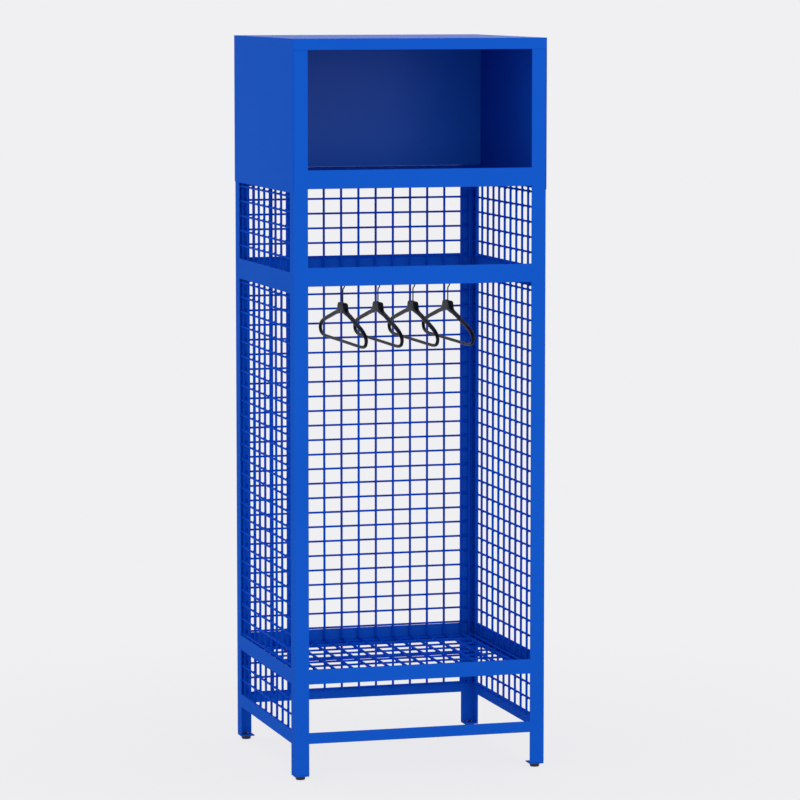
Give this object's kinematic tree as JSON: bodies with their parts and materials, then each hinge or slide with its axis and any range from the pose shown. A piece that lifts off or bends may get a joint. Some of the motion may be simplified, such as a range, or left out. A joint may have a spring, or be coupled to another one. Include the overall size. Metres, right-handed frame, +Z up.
{
  "type": "mesh locker",
  "caption": "Open steel sports locker with welded mesh walls, a closed top compartment, a mesh seat and hangers that slide and swivel on a rod",
  "frame": {"origin": "on the floor, under the middle of the locker's footprint", "axes": "+Z up, the open front faces -Y, +X to the right seen from the front"},
  "size_m": [0.706, 0.65, 1.99],
  "materials": {
    "coat": "satin blue powder coat",
    "wire": "satin blue powder coat on steel wire",
    "foot": "matt black plastic",
    "hanger": "satin charcoal plastic",
    "hook": "dark zinc plated wire"
  },
  "bodies": {
    "locker": {"post_front_left": "coat", "post_front_right": "coat", "post_rear_left": "coat", "post_rear_right": "coat", "post_plate_front_left": "coat", "post_plate_front_right": "coat", "post_plate_rear_left": "coat", "post_plate_rear_right": "coat", "foot_front_left": "foot", "foot_front_right": "foot", "foot_rear_left": "foot", "foot_rear_right": "foot", "bottom_rail_front": "coat", "bottom_rail_rear": "coat", "bottom_rail_left": "coat", "bottom_rail_right": "coat", "seat_rail_front": "coat", "seat_rail_rear": "coat", "seat_rail_left": "coat", "seat_rail_right": "coat", "middle_beam_front": "coat", "middle_rail_rear": "coat", "middle_rail_left": "coat", "middle_rail_right": "coat", "compartment_beam_front": "coat", "compartment_rail_rear": "coat", "compartment_ledge_left": "coat", "compartment_ledge_right": "coat", "hood": "coat", "compartment_floor": "coat", "compartment_back": "coat", "mesh_back_lower": "wire", "mesh_back_main": "wire", "mesh_back_upper": "wire", "mesh_left_lower": "wire", "mesh_left_main": "wire", "mesh_left_upper": "wire", "mesh_right_lower": "wire", "mesh_right_main": "wire", "mesh_right_upper": "wire", "seat_grid": "wire", "hanging_rod": "coat", "rod_socket_left": "coat", "rod_socket_right": "coat"},
    "sliding_hook_1": {"hook_1": "hook"},
    "sliding_hook_2": {"hook_2": "hook"},
    "sliding_hook_3": {"hook_3": "hook"},
    "sliding_hook_4": {"hook_4": "hook"},
    "swivel_hanger_1": {"hanger_1": "hanger"},
    "swivel_hanger_2": {"hanger_2": "hanger"},
    "swivel_hanger_3": {"hanger_3": "hanger"},
    "swivel_hanger_4": {"hanger_4": "hanger"}
  },
  "joints": [
    {"name": "hook_1_slide", "type": "slide", "parent": "locker", "child": "sliding_hook_1", "axis": [1, 0, 0], "range_m": [-0.13, 0.04]},
    {"name": "hook_2_slide", "type": "slide", "parent": "locker", "child": "sliding_hook_2", "axis": [1, 0, 0], "range_m": [-0.04, 0.04]},
    {"name": "hook_3_slide", "type": "slide", "parent": "locker", "child": "sliding_hook_3", "axis": [1, 0, 0], "range_m": [-0.04, 0.04]},
    {"name": "hook_4_slide", "type": "slide", "parent": "locker", "child": "sliding_hook_4", "axis": [1, 0, 0], "range_m": [-0.04, 0.08]},
    {"name": "hanger_1_swivel", "type": "hinge", "parent": "sliding_hook_1", "child": "swivel_hanger_1", "pos_m": [-0.12825, 0, 1.25], "axis": [0, 0, 1], "range_deg": [-15, 15]},
    {"name": "hanger_2_swivel", "type": "hinge", "parent": "sliding_hook_2", "child": "swivel_hanger_2", "pos_m": [-0.02775, 0, 1.25], "axis": [0, 0, 1], "range_deg": [-15, 15]},
    {"name": "hanger_3_swivel", "type": "hinge", "parent": "sliding_hook_3", "child": "swivel_hanger_3", "pos_m": [0.07275, 0, 1.25], "axis": [0, 0, 1], "range_deg": [-15, 15]},
    {"name": "hanger_4_swivel", "type": "hinge", "parent": "sliding_hook_4", "child": "swivel_hanger_4", "pos_m": [0.17325, 0, 1.25], "axis": [0, 0, 1], "range_deg": [-15, 15]}
  ]
}
